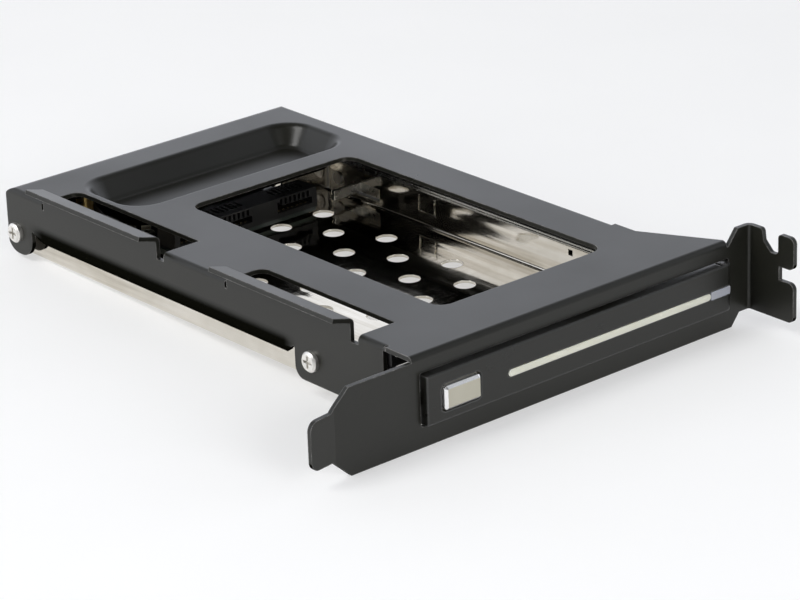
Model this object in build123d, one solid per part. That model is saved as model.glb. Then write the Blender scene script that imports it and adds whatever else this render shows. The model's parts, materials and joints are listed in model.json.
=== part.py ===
from build123d import *
import os
from math import cos, radians, sin, sqrt

# Slot drive bay for one 2.5 inch drive, all sizes in millimetres.
# Working axes: X along the slot bracket from the tip of its tongue, Y from the bracket's
# front face to the rear, Z up from the bracket's lower edge.

# Drive that the bay takes, with its play in the cage
DRIVE_WIDTH = 69.85
DRIVE_LENGTH = 100.2
SIDE_PLAY = 0.625

# Sheet metal of bracket and cover; the long bends are tight, the rear one is wide
SHEET = 1.0
BEND_IN = 0.2
BEND_OUT = BEND_IN + SHEET
POST_BEND = 0.8
REAR_BEND_IN = 2.3

# Slot bracket, 120.02 long with these values
HINGE_SIDE = 16.72
PLATE_HEIGHT = 18.42
TONGUE_WIDTH = 10.19
TONGUE_LENGTH = 5.76
SHOULDER_RUN = 4.52
TONGUE_BEND_X = 6.6
TONGUE_SET = 0.95
TONGUE_CORNER = 2.0
FLANGE_Z0 = 2.8
FLANGE_TOP = 21.59
FLANGE_DEPTH = 12.6
FLANGE_BEND = 0.6
FLANGE_TIP_CORNER = 1.4
FLANGE_CORNER = 0.9
FOOT_INSET = 6.18
FOOT_RUN = 2.3
CREST_INSET = 4.42
CREST_RUN = 2.7
CREST_FOOT_Z = 18.3
NOTCH_WIDTH = 3.0
NOTCH_Z = 13.0
NOTCH_FLOOR = 8.5
HOOK_WIDTH = 4.4
HOOK_GAP_Z = 17.0
HOOK_GAP_FLOOR = 2.1
HOOK_GAP_SLOPE = 2.1
HOOK_GAP_TOP = 4.5

# Cover
COVER_TOP = 19.56
COVER_LEFT = 26.2
CAGE_GAP = 1.4
REAR_BAY = 32.5
WALL_BOTTOM = 4.8
LEFT_WALL_FRONT = 8.5
RIGHT_WALL_FRONT = 24.0
FRONT_LUG_END = 36.0
REAR_LUG = 9.5
SIDE_BAND_Z = 11.2
CURL_RADIUS = 3.2
CURL_ANGLE = 54
CURL_SLANT = 4.2
FRONT_LUG_CORNER = 2.6
REAR_LUG_CORNER = 4.2
REAR_LIP_BOTTOM = 15.3
REAR_RETURN_LEFT = 19.5
REAR_RETURN_RIGHT = 2.6
FLARE_REACH = 9.1
FLARE_START = 17.8
FLARE_STEP = 0.2
RELIEF_R = 0.5

# Windows in the top of the cover
WINDOW_LEFT = 20.8
WINDOW_RIGHT = 11.3
WINDOW_Y0 = 15.3
WINDOW_REAR = 7.1
WINDOW_CORNER = 3.2
SIDE_CUT_WIDTH = 9.55
SIDE_CUT_CORNER = 2.4
SIDE_CUT_START = 15.9
FRONT_CUT_LENGTH = 41.5
REAR_CUT_LENGTH = 42.9
SIDE_CUT_REAR = 14.8
EAR_GAP = 2.3
RELIEF_WIDTH = 0.7
RELIEF_Z = 17.6
RELIEF_DROP = 0.55

# Ears: strips of the left wall that stand above the cover, with a lip that rises outwards
LIP_CENTRE_Z = 21.2
LIP_BEND = 0.3
LIP_ANGLE = 75
LIP_LENGTH = 4.4

# Pressed dish in the top of the cover
DISH_LEFT = 11.3
DISH_RIGHT = 5.3
DISH_FRONT = 0.4
DISH_REAR = 11.3
DISH_CORNER = 7.0
DISH_DEPTH = 4.8
DISH_SLOPE = 3.2
DISH_RIM = 1.8
DISH_WALL = 0.6

# Cage that carries the drive
CAGE_SHEET = 0.6
CAGE_BEND = 0.6
CAGE_BOTTOM = 4.0
CAGE_WALL_TOP = 12.4
CAGE_FRONT = 3.4
CAGE_REAR_GAP = 0.3
STOP_DROP = 0.4
STOP_SIDE = 0.5
STOP_TO_BOARD = 0.6
STOP_OVER_BOARD = 2.4
STOP_LIFT = 1.5
DRIVE_FRONT = 3.6
HOLE_R = 2.4
HOLE_SIDES = 28
HOLE_PITCH = 12.2
ROW_PITCH = 10.9
FIRST_ROW_Y = 16.1
STOP_WALL_GAP = 10.8
FINGER_Y = 78.0
FINGER_WIDTH = 4.8
FINGER_CUT = 0.5
FINGER_Z = 7.9
BRIDGE_HEIGHT = 0.8
SLOT_Y = 33.6
SLOT_SIZE = 1.3
SLOT_Z = 10.4

# Screws that hold the cage in the cover
SCREW_Z = 9.7
FRONT_SCREW_Y = 30.6
REAR_SCREW_INSET = 3.9
SCREW_HEAD_R = 2.2
SCREW_HEAD_H = 1.25
SCREW_R = 1.25
SCREW_CLEAR = 0.25
CROSS_LENGTH = 2.6
CROSS_WIDTH = 0.6
CROSS_DEPTH = 0.7
THREAD_CLEAR = 0.02
FRONT_BOSS_R = 2.3
REAR_BOSS_R = 1.75

# Door
OPENING_LEFT = 1.9
OPENING_RIGHT = 9.6
OPENING_Z0 = 4.4
OPENING_Z1 = 15.7
OPENING_CORNER = 0.6
DOOR_GAP = 0.45
DOOR_PROUD = 1.6
DOOR_BACK = 2.6
DOOR_SKIN = 1.2
DOOR_EDGE = 0.3
KNUCKLE_R = 1.35
KNUCKLE_SKIN = 0.4
DOOR_ANGLE = 90

# Hinge
PIN_R = 0.5
RUNNING_FIT = 0.05
SEAT_FIT = 0.02
EAR_SHEET = 0.6
EAR_PLAY = 0.15
EAR_R = 0.85
EAR_REACH = 2.4
HINGE_BASE = 3.0

# Light guide
GUIDE_LEFT = 21.05
GUIDE_RIGHT = 6.45
GUIDE_Z = 9.6
GUIDE_HEIGHT = 1.5
GUIDE_PROUD = 0.12
GUIDE_FLANGE = 0.7
GUIDE_FLANGE_T = 0.35
GUIDE_PLAY = 0.04
GUIDE_END_HEIGHT = 1.8
GUIDE_END_GAP = 0.1
GUIDE_END_RIGHT = 0.75
GUIDE_END_DEPTH = 0.6
LED_BOARD_T = 0.8
LED_BOARD_GAP = 0.4
LED_BOARD_HALF = 3.0
LED_PITCH = 14.0
LED_SIZE = (1.6, 0.3, 0.8)
LED_BOARD_INSET = 7.4
POST_T = 0.8

# Button and latch
BUTTON_LEFT = 4.05
BUTTON_WIDTH = 9.4
BUTTON_Z0 = 7.15
BUTTON_HEIGHT = 5.0
BUTTON_PROUD = 0.85
BUTTON_BEVEL = 0.55
BUTTON_CORNER = 0.7
BUTTON_GAP = 0.5
BUTTON_FLANGE = 1.0
BUTTON_FLANGE_T = 0.45
BUTTON_PLAY = 0.05
LATCH_Y0 = 1.25
LATCH_T = 1.0
LATCH_HEIGHT = 2.6
LATCH_PLAY = 0.1
LATCH_CATCH = 1.0
LATCH_LENGTH = 12.9
WEDGE_INSET = 0.9
WEDGE_TIP = 1.35
WEDGE_WIDTH = 2.6
WEDGE_GAP = 0.3
WEDGE_HALF = 0.6
SPRING_WIRE = 0.2
SPRING_SEAT = 0.02
BUTTON_SPRING_R = 0.55
LATCH_SPRING_R = 0.4
LATCH_SPRING_LENGTH = 5.2
RIB_T = 1.0
RIB_HALF = 2.4
BACK_PLATE_T = 0.5
BACK_PLATE_WIDTH = 18.0

# Ejector
ARM_R = 5.0
ARM_ANGLE = 135
ARM_HALF_WIDTH = 1.7
ARM_PIN_R = 0.8
ARM_PIN_TOP = 9.2
FORK_CLEAR = 0.25
FORK_WALL = 0.85
FORK_Z = 7.2
FORK_T = 1.0
FORK_ROOM = 0.6
SLIDE_T = 0.6
SLIDE_GAP = 0.25
SLIDE_Z0 = 6.3
SLIDE_Z1 = 12.9
SLIDE_SLOT_CLEAR = 0.2
SLIDE_CORNER = 1.0
TAB_REACH = 7.0
TAB_Z0 = 6.4
TAB_Z1 = 8.6
TAB_T = 1.0
TAB_GAP = 0.5
TAB_CLEAR = 0.5
RIVET_INSET = 7.4
RIVET_Z = 8.2
RIVET_R = 0.9
RIVET_HEAD_R = 1.5
RIVET_HEAD_T = 0.35
RIVET_MARGIN = 2.2

# Board with its connectors
BOARD_T = 1.2
BOARD_INSET = 5.0
STANDOFF_H = 0.6
STANDOFF_R = 2.0
BOARD_SCREW_R = 0.9
BOARD_HEAD_R = 1.7
BOARD_HEAD_H = 0.9
BOARD_MARGIN = 0.8
HOLE_INSET = 3.0
HOLE_BEHIND = 6.6
BOARD_CORNER = 1.0
HOLE_PLAY = 0.2
SOCKET_OFFSET = 3.5
SOCKET_WIDTH = 40.0
SOCKET_HEIGHT = 4.8
SOCKET_DEPTH = 6.4
SOCKET_WALL = 0.9
PIN_PITCH = 1.27
COMB_WIDTH = 0.7
COMB_DEPTH = 1.0
COMB_TOP = 0.4
COMB_BOTTOM = 1.9
POWER_PINS = 15
DATA_PINS = 7
CONTACT_WIDTH = 0.6
CONTACT_T = 0.3
REAR_SOCKET_DEPTH = 9.4
REAR_SOCKET_OVERHANG = 2.4
CAPACITOR_R = 1.8
CAPACITOR_HEIGHT = 3.0
CAPACITOR_INSET = 4.8
CAPACITOR_BEHIND = 10.8
POCKET_MID = 2.0
POCKET_HALF = 0.8
POCKET_END = 0.5
POCKET_ROOM = 1.0
KEY_WIDTH = 1.2
KEY_HEIGHT = 1.0
REAR_SOCKET_HEIGHT = 6.2
REAR_SOCKET_END = 2.2
REAR_SOCKET_FLOOR = 3.0
REAR_SOCKET_INSET = 0.4
REAR_TONGUE_HALF = 0.6
REAR_TONGUE_BACK = 0.8
CHIP_BEHIND = 2.2
CHIP_PITCH = 4.2
CHIP_START = 9.0
CHIP_SIZE = (2.0, 1.25, 0.9)
REGULATOR_SIZE = (3.8, 3.6, 1.2)
INDUCTOR_SIZE = (7.0, 2.8, 1.5)

# Values worked out from the sizes above
BAY_WIDTH = DRIVE_WIDTH + 2 * SIDE_PLAY
COVER_RIGHT = COVER_LEFT + BAY_WIDTH + 2 * (SHEET + CAGE_GAP + CAGE_SHEET)
BAY_CENTRE = (COVER_LEFT + COVER_RIGHT) / 2
DRIVE_REAR = DRIVE_FRONT + DRIVE_LENGTH
COVER_DEPTH = DRIVE_REAR + REAR_BAY
BRACKET_LENGTH = COVER_RIGHT + HINGE_SIDE
FOOT_X = BRACKET_LENGTH - FOOT_INSET
CREST_X = BRACKET_LENGTH - CREST_INSET
CREST_FOOT_X = CREST_X - CREST_RUN
FLARE_X = COVER_RIGHT + FLARE_REACH
REAR_LUG_START = COVER_DEPTH - REAR_LUG
FRONT_CUT = (SIDE_CUT_START, SIDE_CUT_START + FRONT_CUT_LENGTH)
REAR_CUT = (COVER_DEPTH - SIDE_CUT_REAR - REAR_CUT_LENGTH, COVER_DEPTH - SIDE_CUT_REAR)
DISH_X0 = COVER_LEFT + DISH_LEFT
DISH_X1 = COVER_RIGHT - DISH_RIGHT
DISH_Y0 = DRIVE_REAR - DISH_FRONT
DISH_Y1 = COVER_DEPTH - DISH_REAR
CAGE_IN_LEFT = BAY_CENTRE - BAY_WIDTH / 2
CAGE_IN_RIGHT = BAY_CENTRE + BAY_WIDTH / 2
CAGE_LEFT = CAGE_IN_LEFT - CAGE_SHEET
CAGE_RIGHT = CAGE_IN_RIGHT + CAGE_SHEET
CAGE_FLOOR = CAGE_BOTTOM + CAGE_SHEET
CAGE_REAR = COVER_DEPTH - SHEET - CAGE_REAR_GAP
WALL_IN_LEFT = COVER_LEFT + SHEET
WALL_IN_RIGHT = COVER_RIGHT - SHEET
COVER_UNDER = COVER_TOP - SHEET
TONGUE_Z0 = (PLATE_HEIGHT - TONGUE_WIDTH) / 2
SHOULDER_X = TONGUE_LENGTH + SHOULDER_RUN
REAR_SCREW_Y = COVER_DEPTH - REAR_SCREW_INSET
STOP_WALL_Y = DRIVE_REAR + STOP_WALL_GAP
OPENING_X0 = COVER_LEFT + OPENING_LEFT
OPENING_X1 = COVER_RIGHT + OPENING_RIGHT

DOOR_FRONT = -DOOR_PROUD
SKIN_BACK = DOOR_FRONT + DOOR_SKIN
DOOR_X0 = OPENING_X0 + DOOR_GAP
DOOR_X1 = OPENING_X1 - DOOR_GAP
DOOR_Z0 = OPENING_Z0 + DOOR_GAP
DOOR_Z1 = OPENING_Z1 - DOOR_GAP
PIVOT_X = DOOR_X1 - KNUCKLE_R
PIVOT_Y = DOOR_FRONT + KNUCKLE_R
HINGE_END_X = PIVOT_X - KNUCKLE_R - EAR_PLAY
HINGE_Z0 = DOOR_Z0 + EAR_SHEET + EAR_PLAY
HINGE_Z1 = DOOR_Z1 - EAR_SHEET - EAR_PLAY
GUIDE_X0 = DOOR_X0 + GUIDE_LEFT
GUIDE_X1 = DOOR_X1 - GUIDE_RIGHT
LED_BOARD_X0 = GUIDE_X0 + LED_BOARD_INSET
LED_BOARD_X1 = GUIDE_X1 - LED_BOARD_INSET
LED_BOARD_Y0 = SKIN_BACK + GUIDE_FLANGE_T + LED_BOARD_GAP
BUTTON_X0 = DOOR_X0 + BUTTON_LEFT
LATCH_TIP_X = OPENING_X0 - LATCH_CATCH
LATCH_END_X = LATCH_TIP_X + LATCH_LENGTH
LATCH_Z = BUTTON_Z0 + BUTTON_HEIGHT / 2
WEDGE_X = LATCH_END_X - WEDGE_INSET

ARM_PIN_X = PIVOT_X + ARM_R * cos(radians(ARM_ANGLE))
ARM_PIN_Y = PIVOT_Y + ARM_R * sin(radians(ARM_ANGLE))
SLIDE_TRAVEL = 2 * ARM_R * sin(radians(DOOR_ANGLE / 2))
SLIDE_X0 = CAGE_RIGHT + SLIDE_GAP
SLIDE_X1 = SLIDE_X0 + SLIDE_T
TAB_Y0 = DRIVE_REAR + TAB_GAP
RIVET_Y = DRIVE_REAR + RIVET_INSET
FORK_HALF = ARM_PIN_R + FORK_CLEAR + FORK_WALL
FORK_END_X = ARM_PIN_X + ARM_PIN_R + FORK_CLEAR

BOARD_BOTTOM = CAGE_FLOOR + STANDOFF_H
BOARD_TOP = BOARD_BOTTOM + BOARD_T
SOCKET_CENTRE = BAY_CENTRE + SOCKET_OFFSET
BOARD_X0 = SOCKET_CENTRE - SOCKET_WIDTH / 2 - BOARD_MARGIN
BOARD_X1 = SOCKET_CENTRE + SOCKET_WIDTH / 2 + BOARD_MARGIN
SOCKET_Y0 = DRIVE_REAR + TAB_GAP
BOARD_Y0 = SOCKET_Y0 + BOARD_MARGIN
BOARD_Y1 = COVER_DEPTH - BOARD_INSET

# How far tools reach past a face, how far joined pieces reach into each other, and a rounding
BEYOND = 1.0
JOIN = 0.1
TINY = 0.01

ORIGIN_X = BRACKET_LENGTH / 2
ORIGIN_Y = (COVER_DEPTH - FLANGE_DEPTH) / 2


def block(x0, x1, y0, y1, z0, z1):
    """A box given by its lowest and highest corners."""
    centre = Pos((x0 + x1) / 2, (y0 + y1) / 2, (z0 + z1) / 2)
    return centre * Box(x1 - x0, y1 - y0, z1 - z0)


def rod_x(x0, x1, y, z, r):
    return Pos((x0 + x1) / 2, y, z) * Rot(0, 90, 0) * Cylinder(r, x1 - x0)


def rod_y(y0, y1, x, z, r):
    return Pos(x, (y0 + y1) / 2, z) * Rot(90, 0, 0) * Cylinder(r, y1 - y0)


def rod_z(z0, z1, x, y, r):
    return Pos(x, y, (z0 + z1) / 2) * Cylinder(r, z1 - z0)


def slab_x(sketch, x0, x1):
    """Extrude a sketch drawn in Y and Z from x0 to x1."""
    return extrude(Plane.YZ.offset(x0) * sketch, amount=x1 - x0)


def slab_y(sketch, y0, y1):
    """Extrude a sketch drawn in X and Z from y0 to y1."""
    return extrude(Plane.XZ.offset(-y1) * sketch, amount=y1 - y0)


def slab_z(sketch, z0, z1):
    """Extrude a sketch drawn in X and Y from z0 to z1."""
    return extrude(Plane.XY.offset(z0) * sketch, amount=z1 - z0)


def polygon(points):
    return make_face(Polyline(*points, close=True))


def rounded(u0, u1, v0, v1, r):
    """A rounded rectangle given by its limits."""
    centre = Pos((u0 + u1) / 2, (v0 + v1) / 2)
    return centre * RectangleRounded(u1 - u0, v1 - v0, r)


def plain(u0, u1, v0, v1):
    """A rectangle given by its limits."""
    return Pos((u0 + u1) / 2, (v0 + v1) / 2) * Rectangle(u1 - u0, v1 - v0)


def quarter_bend(inner, outer):
    """The section of a right-angle bend, centred on the origin, in the +u, +v quarter."""
    return (Circle(outer) - Circle(inner)) & plain(0, outer, 0, outer)


def bracket_plan():
    """Top view of the bracket sheet: bent tongue, plate, and flange turned to the front."""
    bend_out = FLANGE_BEND + SHEET
    bend_x = BRACKET_LENGTH - bend_out
    plate = plain(TONGUE_BEND_X, bend_x, 0, SHEET)
    run = TONGUE_BEND_X
    length = sqrt(run ** 2 + TONGUE_SET ** 2)
    side = SHEET * run / length
    tongue = polygon([
        (0, -TONGUE_SET),
        (TONGUE_BEND_X, 0),
        (TONGUE_BEND_X, SHEET),
        (0, -TONGUE_SET + side),
    ])
    corner = Pos(bend_x, SHEET - bend_out) * quarter_bend(FLANGE_BEND, bend_out)
    flange = plain(BRACKET_LENGTH - SHEET, BRACKET_LENGTH, -FLANGE_DEPTH, SHEET - bend_out)
    return plate + tongue + corner + flange


def bracket_front():
    """Front view of the bracket: tongue, shoulders, plate under the cover, crest and flange."""
    tip = plain(0, TONGUE_LENGTH + 1, TONGUE_Z0, TONGUE_Z0 + TONGUE_WIDTH)
    tip = fillet(tip.vertices().group_by(Axis.X)[0], TONGUE_CORNER)
    plate = polygon([
        (TONGUE_LENGTH, TONGUE_Z0),
        (SHOULDER_X, 0),
        (FOOT_X, 0),
        (FOOT_X + FOOT_RUN, FLANGE_Z0),
        (BRACKET_LENGTH, FLANGE_Z0),
        (BRACKET_LENGTH, FLANGE_TOP),
        (CREST_X, FLANGE_TOP),
        (CREST_FOOT_X, CREST_FOOT_Z),
        (FLARE_X, CREST_FOOT_Z),
        (FLARE_X, COVER_TOP),
        (COVER_LEFT, COVER_TOP),
        (COVER_LEFT, PLATE_HEIGHT),
        (SHOULDER_X, PLATE_HEIGHT),
        (TONGUE_LENGTH, PLATE_HEIGHT - TONGUE_Z0),
    ])
    return tip + plate


def flange_side():
    """Side view of the flange: hooked top, gap beside it, screw notch and rounded foot."""
    outer = -FLANGE_DEPTH
    low = NOTCH_Z - NOTCH_WIDTH / 2
    high = NOTCH_Z + NOTCH_WIDTH / 2
    gap = outer + HOOK_WIDTH
    ramp = gap + HOOK_GAP_FLOOR
    crest = gap + HOOK_GAP_TOP
    face = polygon([
        (SHEET, FLANGE_Z0),
        (outer, FLANGE_Z0),
        (outer, low),
        (-NOTCH_FLOOR, low),
        (-NOTCH_FLOOR, high),
        (outer, high),
        (outer, FLANGE_TOP),
        (gap, FLANGE_TOP),
        (gap, HOOK_GAP_Z),
        (ramp, HOOK_GAP_Z),
        (ramp + HOOK_GAP_SLOPE, HOOK_GAP_Z + HOOK_GAP_SLOPE),
        (crest, FLANGE_TOP),
        (SHEET, FLANGE_TOP),
    ])
    tips = [v for v in face.vertices() if v.X < outer + TINY]
    face = fillet(tips, FLANGE_TIP_CORNER)
    inner = [v for v in face.vertices() if gap - TINY < v.X < crest + TINY and v.Y > HOOK_GAP_Z - TINY]
    return fillet(inner, FLANGE_CORNER)


def bracket():
    plan = slab_z(bracket_plan(), -1, FLANGE_TOP + 1)
    front = slab_y(bracket_front(), -FLANGE_DEPTH - 1, SHEET + 1)
    sheet = plan & front
    beyond = plain(-FLANGE_DEPTH - 2, -FLANGE_BEND, -1, FLANGE_TOP + 1)
    waste = slab_x(beyond - flange_side(), BRACKET_LENGTH - 2 * SHEET, BRACKET_LENGTH + 1)
    opening = rounded(OPENING_X0, OPENING_X1, OPENING_Z0, OPENING_Z1, OPENING_CORNER)
    return sheet - waste - slab_y(opening, -1, SHEET + 1)


def folded_block(x0, x1, y0, y1, z0, z1, side_bend, rear_bend, post):
    """A block with bends along its sides, over its rear edge and at its rear corners."""
    end = plain(x0, x1, z0, z1)
    end = fillet(end.vertices().group_by(Axis.Y)[-1], side_bend)
    side = plain(y0, y1, z0, z1)
    side = fillet(side.vertices().group_by(Axis.Y)[-1].sort_by(Axis.X)[-1], rear_bend)
    above = plain(x0, x1, y0, y1)
    above = fillet(above.vertices().group_by(Axis.Y)[-1], post)
    return slab_y(end, y0, y1) & slab_x(side, x0, x1) & slab_z(above, z0, z1)


def cover_box():
    """The cover as a folded box: top, two side walls and the rear, open below and in front."""
    outer = folded_block(COVER_LEFT, COVER_RIGHT, 0, COVER_DEPTH, WALL_BOTTOM, COVER_TOP,
                         BEND_OUT, REAR_BEND_IN + SHEET, POST_BEND)
    inner = folded_block(WALL_IN_LEFT, WALL_IN_RIGHT, -BEYOND, COVER_DEPTH - SHEET, WALL_BOTTOM - BEYOND,
                         COVER_UNDER, BEND_IN, REAR_BEND_IN, BEND_IN)
    return outer - inner


def front_bend():
    """Rounding between the top of the cover and the bracket plate: waste outside, fill inside."""
    outer = plain(-1, BEND_OUT, COVER_TOP - BEND_OUT, COVER_TOP + 1)
    waste = outer - Pos(BEND_OUT, COVER_TOP - BEND_OUT) * Circle(BEND_OUT)
    inner = plain(SHEET, BEND_OUT, COVER_TOP - BEND_OUT, COVER_UNDER)
    fill = inner - Pos(BEND_OUT, COVER_TOP - BEND_OUT) * Circle(BEND_IN)
    return slab_x(waste, COVER_LEFT, FLARE_X), slab_x(fill, COVER_LEFT, FLARE_X)


def flare():
    """The top sheet widens beside the hinge, where it has no side wall."""
    right = COVER_RIGHT + FLARE_STEP
    outline = polygon([
        (COVER_RIGHT - BEND_OUT - 1, SHEET / 2),
        (FLARE_X, SHEET / 2),
        (FLARE_X, BEND_OUT),
        (right, FLARE_START),
        (right, RIGHT_WALL_FRONT - FLARE_STEP),
        (COVER_RIGHT - BEND_OUT - 1, RIGHT_WALL_FRONT - FLARE_STEP),
    ])
    return slab_z(outline, COVER_UNDER, COVER_TOP)


def left_front_edge():
    """In front of the left wall the top sheet is flat, up to a small relief at the bend."""
    return block(COVER_LEFT, COVER_LEFT + 2 * BEND_OUT, SHEET, LEFT_WALL_FRONT - RELIEF_R,
                 COVER_UNDER, COVER_TOP)


def left_wall_waste():
    """What is cut from the left wall: the gap at the bracket and the band between the lugs."""
    band = plain(-1, COVER_DEPTH + 1, WALL_BOTTOM - 2, SIDE_BAND_Z)
    front_lug = rounded(LEFT_WALL_FRONT, FRONT_LUG_END, WALL_BOTTOM, SIDE_BAND_Z + FRONT_LUG_CORNER,
                        FRONT_LUG_CORNER)
    rear_lug = rounded(REAR_LUG_START, COVER_DEPTH, WALL_BOTTOM, SIDE_BAND_Z + REAR_LUG_CORNER,
                       REAR_LUG_CORNER)
    cut = band - front_lug - rear_lug
    gap = plain(SHEET, LEFT_WALL_FRONT, WALL_BOTTOM - 2, COVER_UNDER)
    return slab_x(cut + gap, COVER_LEFT - BEYOND, WALL_IN_LEFT + REAR_RETURN_LEFT)


def side_curl():
    """The lower edge of the left wall curls inwards between its two lugs."""
    centre = COVER_LEFT + CURL_RADIUS
    inner = CURL_RADIUS - SHEET
    ring = Circle(CURL_RADIUS) - Circle(inner)
    reach = 2 * CURL_RADIUS
    edge = (-reach * cos(radians(CURL_ANGLE)), -reach * sin(radians(CURL_ANGLE)))
    sector = polygon([(0, 0), (-reach, 0), (-reach, edge[1]), edge])
    curl = slab_y(Pos(centre, SIDE_BAND_Z) * (ring & sector), FRONT_LUG_END, REAR_LUG_START)
    side = polygon([
        (FRONT_LUG_END + RELIEF_R, SIDE_BAND_Z),
        (FRONT_LUG_END + RELIEF_R + CURL_SLANT, SIDE_BAND_Z - CURL_RADIUS),
        (REAR_LUG_START - RELIEF_R - CURL_SLANT, SIDE_BAND_Z - CURL_RADIUS),
        (REAR_LUG_START - RELIEF_R, SIDE_BAND_Z),
    ])
    return curl & slab_x(side, COVER_LEFT - 1, centre)


def side_cut(y0, y1):
    """One opening in the top beside the left wall, with the bend removed for the ear."""
    top = plain(COVER_LEFT - 1, COVER_LEFT + SIDE_CUT_WIDTH, y0, y1)
    far_corner = top.vertices().sort_by(Axis.Y)[-2:].sort_by(Axis.X)[-1]
    top = fillet(far_corner, SIDE_CUT_CORNER)
    cut = slab_z(top, COVER_UNDER - BEND_IN, COVER_TOP + 1)
    slit = block(COVER_LEFT - 1, COVER_LEFT + BEND_OUT, y0, y0 + EAR_GAP, RELIEF_Z, COVER_TOP + 1)
    relief = block(COVER_LEFT - 1, COVER_LEFT + BEND_OUT, y1, y1 + RELIEF_WIDTH, RELIEF_Z,
                   COVER_TOP - RELIEF_DROP)
    return cut + slit + relief


def ear(y0, y1):
    """A strip of wall above the cover whose top lip is bent outwards."""
    outer = LIP_BEND + SHEET
    centre = Pos(WALL_IN_LEFT - outer, LIP_CENTRE_Z)
    wall = plain(COVER_LEFT, WALL_IN_LEFT, COVER_TOP - BEND_OUT - SHEET, LIP_CENTRE_Z)
    edge = (2 * outer * cos(radians(LIP_ANGLE)), 2 * outer * sin(radians(LIP_ANGLE)))
    sector = polygon([(0, 0), (2 * outer, 0), (2 * outer, edge[1]), edge])
    bend = (Circle(outer) - Circle(LIP_BEND)) & sector
    lip = Rot(0, 0, LIP_ANGLE) * plain(LIP_BEND, outer, 0, LIP_LENGTH)
    return slab_y(wall + centre * (bend + lip), y0, y1)


def dish_loft(grow, top_z, floor_z):
    """A tapered tray shape between a rim and a smaller floor."""
    rim = rounded(DISH_X0 - grow, DISH_X1 + grow, DISH_Y0 - grow, DISH_Y1 + grow, DISH_CORNER + grow)
    s = DISH_SLOPE
    base = rounded(DISH_X0 + s - grow, DISH_X1 - s + grow, DISH_Y0 + s - grow, DISH_Y1 - s + grow,
                   DISH_CORNER - s + grow)
    return loft([Plane.XY.offset(top_z) * rim, Plane.XY.offset(floor_z) * base])


def dish():
    """The pressed dish: the bulge under the top sheet and the hollow that is cut from it."""
    bulge = dish_loft(DISH_WALL, COVER_UNDER, COVER_UNDER - DISH_DEPTH)
    hollow = dish_loft(0, COVER_TOP, COVER_TOP - DISH_DEPTH)
    floor_edges = hollow.faces().sort_by(Axis.Z)[0].edges()
    hollow = fillet(floor_edges, DISH_RIM)
    lid = block(DISH_X0 - DISH_CORNER, DISH_X1 + DISH_CORNER, DISH_Y0 - DISH_CORNER,
                DISH_Y1 + DISH_CORNER, COVER_TOP, COVER_TOP + DISH_RIM)
    tool = lid + hollow
    rim_edges = tool.edges().filter_by(lambda e: abs(e.center().Z - COVER_TOP) < TINY)
    inside = rim_edges.filter_by(lambda e: DISH_Y0 - 1 < e.center().Y < DISH_Y1 + 1)
    inside = inside.filter_by(lambda e: DISH_X0 - 1 < e.center().X < DISH_X1 + 1)
    return bulge, fillet(inside, DISH_RIM)


def screw_points():
    """Place along Y of each side screw, with the radius of the boss it is driven into."""
    return [(FRONT_SCREW_Y, FRONT_BOSS_R), (REAR_SCREW_Y, REAR_BOSS_R)]


def slot_bracket_cover():
    """Bracket, top and walls, folded from one sheet."""
    waste, fill = front_bend()
    shell = cover_box() + flare()
    shell -= left_wall_waste()
    shell += left_front_edge()
    shell -= rod_z(COVER_UNDER - BEYOND, COVER_TOP + BEYOND, COVER_LEFT + RELIEF_R,
                   LEFT_WALL_FRONT - RELIEF_R, RELIEF_R)
    shell -= block(WALL_IN_RIGHT - BEND_IN, COVER_RIGHT + 1, -1, RIGHT_WALL_FRONT,
                   WALL_BOTTOM - 1, COVER_UNDER)
    left_return = WALL_IN_LEFT + REAR_RETURN_LEFT
    right_return = WALL_IN_RIGHT - REAR_RETURN_RIGHT
    rear = rounded(left_return, right_return, 0, REAR_LIP_BOTTOM, BEND_OUT)
    shell -= slab_y(rear, COVER_DEPTH - 2 * SHEET, COVER_DEPTH + BEYOND)
    shell += bracket() + fill + side_curl()
    shell -= waste
    bulge, hollow = dish()
    shell = shell + bulge - hollow
    window = rounded(COVER_LEFT + WINDOW_LEFT, COVER_RIGHT - WINDOW_RIGHT, WINDOW_Y0,
                     DRIVE_REAR - WINDOW_REAR, WINDOW_CORNER)
    shell -= slab_z(window, COVER_UNDER - 1, COVER_TOP + 1)
    for y0, y1 in (FRONT_CUT, REAR_CUT):
        shell -= side_cut(y0, y1)
    for y0, y1 in (FRONT_CUT, REAR_CUT):
        shell += ear(y0 + EAR_GAP, y1)
    for y, boss in screw_points():
        hole = SCREW_R + SCREW_CLEAR
        shell -= rod_x(COVER_LEFT - 1, WALL_IN_LEFT + 1, y, SCREW_Z, hole)
        shell -= rod_x(WALL_IN_RIGHT - 1, COVER_RIGHT + 1, y, SCREW_Z, hole)
    return shell


def floor_holes():
    """Ventilation holes in staggered rows; rows alternate between five and four holes."""
    rows = 9
    holes = []
    for row in range(rows):
        count = 5 if row % 2 == 0 else 4
        y = FIRST_ROW_Y + row * ROW_PITCH
        for i in range(count):
            x = BAY_CENTRE + (i - (count - 1) / 2) * HOLE_PITCH
            holes.append((x, y))
    return holes


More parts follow.
